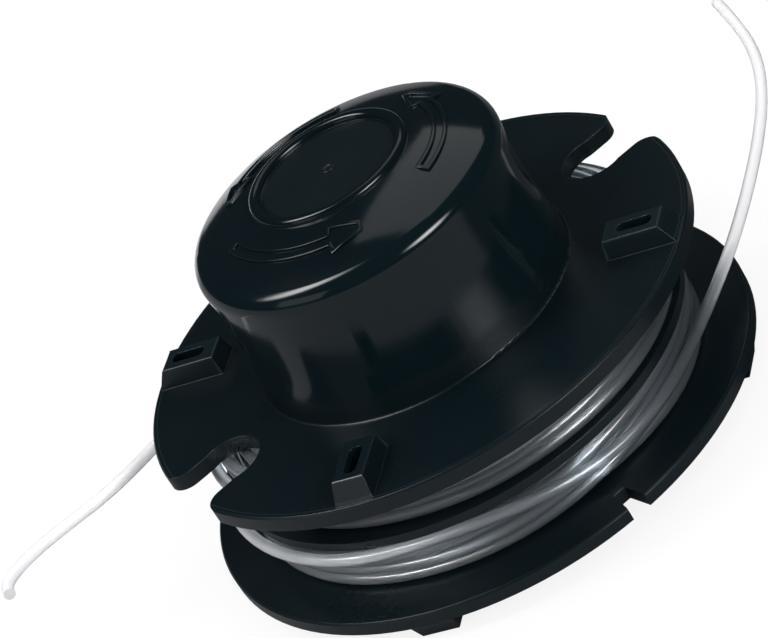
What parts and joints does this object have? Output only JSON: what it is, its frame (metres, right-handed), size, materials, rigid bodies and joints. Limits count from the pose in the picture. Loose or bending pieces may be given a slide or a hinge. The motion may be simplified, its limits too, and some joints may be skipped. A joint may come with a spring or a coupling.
{
  "type": "trimmer line spool",
  "caption": "Black plastic string trimmer spool with a domed bump knob, wound with translucent nylon line.",
  "frame": {"origin": "on the spool's axis, at the level of the lower lugs' undersides", "axes": "+Z along the spool's axis towards the bump knob, +X through a line slot of the upper flange"},
  "size_m": [0.136, 0.0784, 0.0477],
  "materials": {
    "spool_plastic": "moulded, semi-gloss",
    "nylon_line": "translucent, smooth"
  },
  "bodies": {
    "root": {"spool": "spool_plastic", "lower_line_winding": "nylon_line", "lower_line_tail": "nylon_line", "upper_line_winding": "nylon_line", "upper_line_tail": "nylon_line"}
  },
  "joints": []
}
